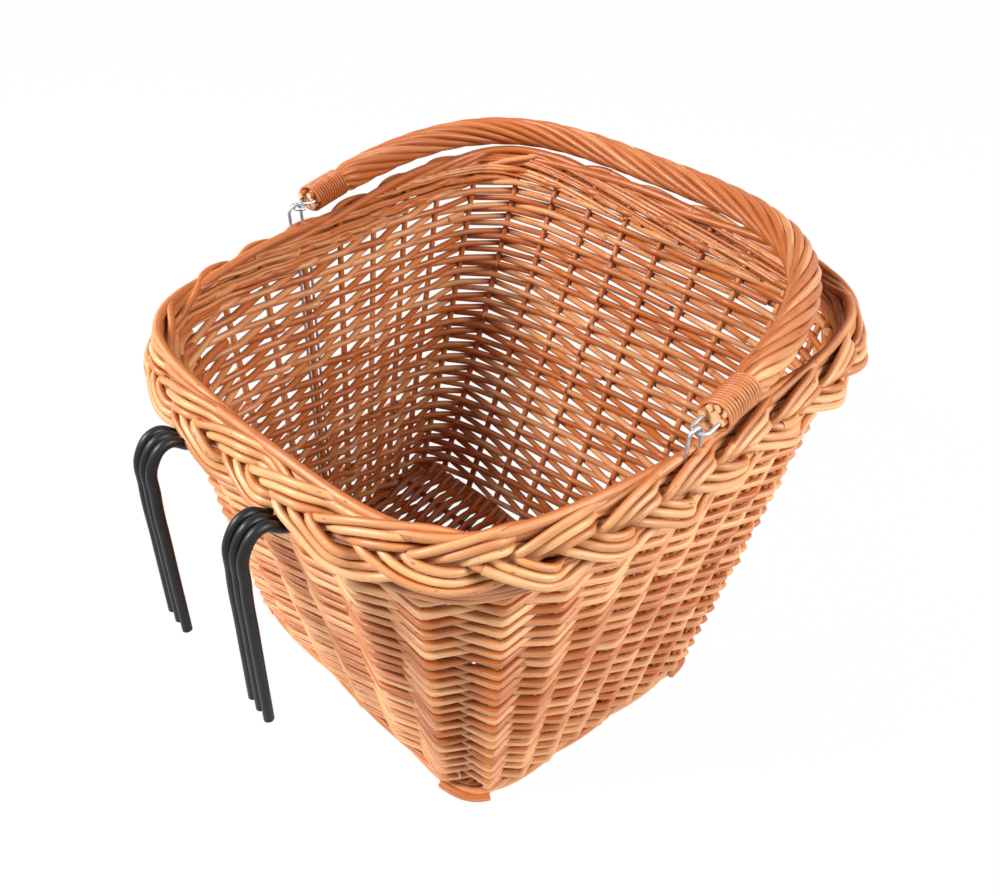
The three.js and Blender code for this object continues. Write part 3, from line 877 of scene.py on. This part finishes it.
# Rods that sweep up out of the wall and run along the flank under the plait's lower edge. A pair
# of numbers is for the start and the end of a rod.
sweep = {
    "count": 4,
    "gaps": (-1.7, 10.5),
    "stagger": (0.45, -0.3),
    "tuck": (0.009, 0.006),
    "tuckShare": (0.05, 0.04),
    "low": 0.0325,
    "pitchShare": 0.86,
    "dip": 0.0105,
    "dipGaps": 2.2,
    "out": 0.0084,
    "outStep": 0.0012,
    "wobble": 0.0006,
    "wobbleWaves": 1.9,
    "heave": 0.0007,
    "heaveWaves": 1.3,
    "rodSize": (0.95, 1.05),
    "tone": (0.6, 1),
    "rings": 170,
}


def sweepingRods(look):
    chance = random.Random(37)
    rods = []
    for index in range(look["count"]):
        first, last = [end + step * index for end, step in zip(look["gaps"], look["stagger"])]
        gaps = np.linspace(first, last, look["rings"])
        share = (gaps - gaps[0]) / (gaps[-1] - gaps[0])
        height = wall["rimHeight"] - look["low"] + plait["pitch"] * look["pitchShare"] * index
        height = height - look["dip"] * np.exp(-np.maximum(gaps, 0) / look["dipGaps"])
        height = height + look["heave"] * np.sin(gaps * look["heaveWaves"] + 2 * index)
        out = look["out"] + look["outStep"] * index
        out = out - look["tuck"][0] * np.exp(-share / look["tuckShare"][0])
        out = out - look["tuck"][1] * np.exp((share - 1) / look["tuckShare"][1])
        out = out + look["wobble"] * np.sin(gaps * look["wobbleWaves"] + index)
        radius = plait["rod"] * chance.uniform(*look["rodSize"])
        path = rimPoint(gaps, out, height)
        rods.append({"path": path, "radius": radius, "tone": chance.uniform(*look["tone"])})
    return rods


def makePlait(look):
    lobeCount = look["frontLobes"] + look["hookSideLobes"]
    step = 1 / look["ringsPerLobe"]
    for strand in range(3):
        chance = random.Random(31 + strand)
        rods = []
        for lane in (-1, 0, 1):
            start = chance.uniform(0, 3)
            finish = start + lobeCount
            while start < finish - 0.5:
                end = min(start + chance.uniform(*look["rodLobes"]), finish)
                if finish - end < look["shortestRod"]:
                    end = finish
                lobes = np.arange(start - look["overlap"], end + look["overlap"], step)
                wander = look["wander"] * np.sin(lobes * look["wanderWaves"] + lane)
                offset = lane * look["pitch"] * (1 + wander)
                point = plaitPath(lobes, strand, offset, look)
                share = (lobes - lobes[0]) / (lobes[-1] - lobes[0])
                radius = look["rod"] * chance.uniform(*look["rodSize"])
                radius = radius * (look["thickEnd"] - look["taper"] * share)
                rods.append({"path": point, "radius": radius, "tone": chance.random()})
                start = end
        if strand == 0:
            rods += sweepingRods(sweep)
        piece = layRods("plait_%d" % (strand + 1), rods, willowOuter, 3)
        place(piece, "basket", "willow_rim", "plait_strand_%d" % (strand + 1))


makePlait(plait)
print("rim plaited")

# Handle: rods twisted round a core, bound at each end with a thin strip.
handle = {
    "halfWidth": 0.184,
    "reach": 0.2335,
    "squareness": (2.95, 3.8),
    "arch": -0.0018,
    "lean": 0.029,
    "endPull": 0.11,
    "endGap": 0.015,
    "unevenEnds": (-0.003, 0.005),
    "boundLength": 0.036,
    "shoulder": 0.012,
    "rods": 9,
    "rings": 260,
    "rod": 0.0028,
    "rodSize": (0.95, 1.05),
    "boundThinner": 0.0006,
    "ring": 0.0078,
    "boundRing": 0.0056,
    "core": 0.0062,
    "boundCore": 0.0044,
    "coreTone": 0.3,
    "coreInset": 0.001,
    "coreRings": 160,
    "lay": 0.2,
    "bindingTurns": 13,
    "bindingRings": 22,
    "binding": 0.00105,
    "bindingInset": 0.001,
    "bindingShorter": 0.003,
    "bindingOut": 0.7,
    "bindingSink": 0.0005,
    "bindingTone": 0.6,
    "samples": 4001,
}


def hingeAt(side):
    return rimPoint(np.array([hinge["gaps"][side]]), hinge["out"], hinge["height"])[0]


def bowSamples(look):
    turn = np.linspace(0, math.pi, look["samples"])
    along = np.cos(turn)
    power = 2 / np.where(along < 0, look["squareness"][0], look["squareness"][1])
    reach = look["reach"] * np.abs(np.sin(turn)) ** power
    spread = look["halfWidth"] * np.sign(along) * np.abs(along) ** power
    hingeX, hingeY, _ = hingeAt(1)
    pull = 1 - (1 - hingeX / look["halfWidth"]) * np.exp(-reach / look["endPull"])
    share = reach / look["reach"]
    x = spread * pull + look["lean"] * np.sin(share * math.pi / 2)
    points = np.stack([x, hingeY - reach, hinge["height"] + look["arch"] * share ** 2], -1)
    steps = np.linalg.norm(np.diff(points, axis=0), axis=1)
    return points, np.concatenate([[0], np.cumsum(steps)])


bowPoints, bowLengths = bowSamples(handle)
bowLength = bowLengths[-1]
bowStep = 0.001  # how far to either side the bow's direction is measured


# A distance along the bow is counted from the +X hinge.
def bowAt(distance):
    return np.stack([np.interp(distance, bowLengths, bowPoints[:, axis]) for axis in range(3)], -1)


def roundBow(distance, angle, radius):
    along = unit(bowAt(distance + bowStep) - bowAt(distance - bowStep))
    across = unit(np.cross(along, [0, 0, 1]))
    lift = np.cross(across, along)
    spoke = across * np.cos(angle)[:, None] + lift * np.sin(angle)[:, None]
    return bowAt(distance) + spoke * np.reshape(radius, (-1, 1))


def makeHandle(look):
    chance = random.Random(41)
    rods = []
    start, end = look["endGap"], bowLength - look["endGap"]
    boundEnd = start + look["boundLength"]
    for index in range(look["rods"]):
        early, late = chance.uniform(*look["unevenEnds"]), chance.uniform(*look["unevenEnds"])
        distance = np.linspace(start + early, end - late, look["rings"])
        fromEnd = np.minimum(distance, bowLength - distance)
        full = np.clip((fromEnd - boundEnd) / look["shoulder"], 0, 1)
        full = full * full * (3 - 2 * full)
        ring = look["boundRing"] + (look["ring"] - look["boundRing"]) * full
        angle = -2 * math.pi * (distance / look["lay"] + index / look["rods"])
        radius = look["rod"] - look["boundThinner"] * (1 - full)
        radius = radius * chance.uniform(*look["rodSize"])
        path = roundBow(distance, angle, ring)
        rods.append({"path": path, "radius": radius, "tone": chance.random()})
    distance = np.linspace(start + look["coreInset"], end - look["coreInset"], look["coreRings"])
    fromEnd = np.minimum(distance, bowLength - distance)
    core = np.where(fromEnd < boundEnd, look["boundCore"], look["core"])
    rods.append({"path": bowAt(distance), "radius": core, "tone": look["coreTone"]})
    place(layRods("handle_rods", rods, willowHandle, 3), "handle", "willow_rim", "handle_bow")
    share = np.linspace(0, 1, look["bindingTurns"] * look["bindingRings"] + 1)
    radius = look["boundRing"] + look["rod"] - look["bindingSink"]
    radius = radius + look["binding"] * look["bindingOut"]
    fromHinge = start + look["binding"] + look["bindingInset"]
    fromHinge = fromHinge + share * (look["boundLength"] - look["bindingShorter"])
    for name, distance in (("left", fromHinge), ("right", bowLength - fromHinge)):
        path = roundBow(distance, 2 * math.pi * look["bindingTurns"] * share, radius)
        strip = {"path": path, "radius": look["binding"], "tone": look["bindingTone"]}
        piece = layRods("binding_" + name, [strip], willowInner)
        place(piece, "handle", "binding", "handle_binding_" + name)


makeHandle(handle)


# A place beside the bow, at a distance from the hinge of its own side.
def besideBow(side, distance, offset):
    middle = distance if side > 0 else bowLength - distance
    along = bowAt(middle + side * bowStep) - bowAt(middle - side * bowStep)
    return bowAt(middle) + unit(np.cross(along, [0, 0, 1])) * offset


# Wire: a link from each end of the handle, through an eye that stands on the rim.
def makeLink(side, name, look):
    half = look["linkWidth"] / 2
    turn = np.linspace(0, math.pi, look["bendRings"])
    bend = hingeAt(side) + np.stack([half * np.cos(turn), half * np.sin(turn) - half, 0 * turn], -1)
    if side > 0:
        bend = bend[::-1]
    deep = handle["endGap"] + look["linkInHandle"]
    mouth = handle["endGap"] - look["linkFree"]
    path = [besideBow(side, deep, -half), besideBow(side, mouth, -half), *bend,
            besideBow(side, mouth, half), besideBow(side, deep, half)]
    link = {"path": np.array(path), "radius": look["wire"], "tone": 0.5}
    piece = layRods("link_" + name, [link], zincWire, 4)
    place(piece, "handle", "zinc_wire", "handle_link_" + name)


def makeEye(side, name, look):
    gaps = np.array([look["gaps"][side]])
    legGap = wall["stakeFoot"] / 2 + look["eyeRoom"] + look["wire"]
    sideways = np.cross([0, 0, 1], outwardAt(rimTable, gaps)[0]) * legGap
    atRim = (wall["rimHeight"] - look["legAtRim"], wall["rimHeight"])
    leg = [wallPoint(gaps, height)[0] for height in look["legHeights"]]
    leg += [rimPoint(gaps, look["out"], height)[0] for height in atRim]
    archFrom = look["height"] + 2 * look["wire"] + look["eyeHeadroom"] - legGap
    path = [point + sideways for point in leg]
    for angle in np.linspace(0, math.pi, look["bendRings"]):
        middle = rimPoint(gaps, look["out"], archFrom + legGap * math.sin(angle))[0]
        path.append(middle + sideways * math.cos(angle))
    path += [point - sideways for point in reversed(leg)]
    eye = {"path": np.array(path), "radius": look["wire"], "tone": 0.5}
    piece = layRods("eye_" + name, [eye], zincWire, 4)
    place(piece, "basket", "zinc_wire", "rim_eye_" + name)


for side, name in ((1, "left"), (-1, "right")):
    makeLink(side, name, hinge)
    makeEye(side, name, hinge)
print("handle twisted and hung")

# Hooks: three coated rods side by side, out through the wall and over the handlebar.
hook = {
    "rod": 0.0031,
    "pitch": 0.0065,
    "spacing": 0.088,
    "reach": 0.047,
    "splay": 0.006,
    "top": 0.251,
    "legEnd": 0.116,
    "stagger": 0.004,
    "tailEnd": 0.04,
    "through": 0.236,
    "wallRoom": 0.005,
    "insideDrops": (0.024, 0.009),  # bends inside the wall, below where the rods go through it
    "wallTuck": 0.0065,
    "wallDrop": 0.0015,
    "outBends": ((0.2, -0.0005), (0.45, 0.0045)),  # share of the reach, and height above "through"
    "crown": 0.7,
    "downBends": ((0.92, -0.011), (1, -0.032)),  # share of the reach, and height from the top
    "legBend": (0.4, -0.070),  # share of the splay, and height from the top
}


# Where the hook wall stands at a distance from the middle, measured on its -X half.
def hookWallY(x, height):
    gaps = np.linspace(gapCount - gapsPerSide[3] / 2, gapCount - 0.001, 400)
    points = wallPoint(gaps, height)
    return np.interp(x, np.abs(points[:, 0]), points[:, 1])


def makeHooks(look):
    behind = (wall["stakeFoot"] + 2 * look["rod"]) / 2 + look["wallRoom"]
    through, top, reach = look["through"], look["top"], look["reach"]
    wallY = hookWallY(0, through)
    end = wallY + reach
    share, fall = look["legBend"]
    insideHeights = [look["tailEnd"]] + [through - drop for drop in look["insideDrops"]]
    profile = [(hookWallY(look["spacing"] / 2 + look["pitch"], height) - behind, height)
               for height in insideHeights]
    profile.append((wallY - look["wallTuck"], through - look["wallDrop"]))
    profile += [(wallY + reach * out, through + rise) for out, rise in look["outBends"]]
    profile.append((wallY + reach * look["crown"], top - look["rod"]))
    profile += [(wallY + reach * out, top + rise) for out, rise in look["downBends"]]
    profile.append((end + look["splay"] * share, top + fall))
    for side, name in ((1, "hook_left"), (-1, "hook_right")):
        curve = bpy.data.curves.new(name, "CURVE")
        curve.dimensions = "3D"
        curve.bevel_depth = look["rod"]
        curve.bevel_resolution = 5
        curve.resolution_u = 12
        curve.use_fill_caps = True
        for rod in (-1, 0, 1):
            x = side * look["spacing"] / 2 + rod * look["pitch"]
            bends = profile + [(end + look["splay"], look["legEnd"] + look["stagger"] * rod)]
            spline = curve.splines.new("BEZIER")
            spline.bezier_points.add(len(bends) - 1)
            for point, (y, z) in zip(spline.bezier_points, bends):
                point.co = (x, y, z)
                point.handle_left_type = point.handle_right_type = "AUTO"
        piece = pieceFromCurve(name + "_rods", curve, blackCoating)
        place(piece, "basket", "black_coating", *startingWith(name))


makeHooks(hook)
print("hooks bent")

# Stage: a white floor that keeps a soft shadow, and soft light.
stage = {
    "floorSize": 30,
    "floorColour": (0.86, 0.86, 0.86, 1),
    "whiteness": 0.985,
    "worldLight": 0.17,
    "lampAim": (0, -0.15, 0.12),
    "lamps": {
        "key": {"power": 58, "size": 0.6, "position": (0.75, 1.05, 1.45)},
        "fill": {"power": 38, "size": 0.8, "position": (-1.45, -0.75, 1.15)},
    },
}


# 1 for what the camera sees itself, in a gloss or through glass, and 0 for light on things.
def seenByCamera(flow):
    ray, gloss, clear = [flow.node("LightPath", {}, {}, output) for output in
                         ("Is Camera Ray", "Is Glossy Ray", "Is Transmission Ray")]
    return (ray + gloss + clear).ramp(0, 1)


def makeFloor(look):
    bpy.ops.mesh.primitive_plane_add(size=look["floorSize"], location=(0, 0, 0))
    floor = bpy.context.object
    floor.name = "floor"
    material, flow, shader = newMaterial("white floor")
    flow.tree.nodes.remove(shader)
    matt = flow.node("BsdfDiffuse", {}, {"Color": look["floorColour"]})
    glow = flow.node("Emission", {}, {"Color": (1, 1, 1, 1), "Strength": 1.0})
    white = seenByCamera(flow) * look["whiteness"]
    mixed = flow.node("MixShader", {}, {0: white, 1: matt, 2: glow})
    flow.feed(flow.tree.nodes["Material Output"], {"Surface": mixed})
    floor.data.materials.append(material)


def makeLight(look):
    world = bpy.data.worlds.new("studio")
    bpy.context.scene.world = world
    world.use_nodes = True
    flow = Flow(world.node_tree)
    strength = seenByCamera(flow) * (1 - look["worldLight"]) + look["worldLight"]
    flow.feed(flow.tree.nodes["Background"], {"Color": (1, 1, 1, 1), "Strength": strength})
    for name, lamp in look["lamps"].items():
        data = bpy.data.lights.new(name, "AREA")
        data.energy = lamp["power"]
        data.size = lamp["size"]
        holder = bpy.data.objects.new(name, data)
        bpy.context.scene.collection.objects.link(holder)
        holder.location = lamp["position"]
        aim = Vector(look["lampAim"]) - Vector(lamp["position"])
        holder.rotation_euler = aim.to_track_quat("-Z", "Y").to_euler()
    bpy.context.scene.view_settings.view_transform = "Standard"


makeFloor(stage)
makeLight(stage)


print("scene ready")
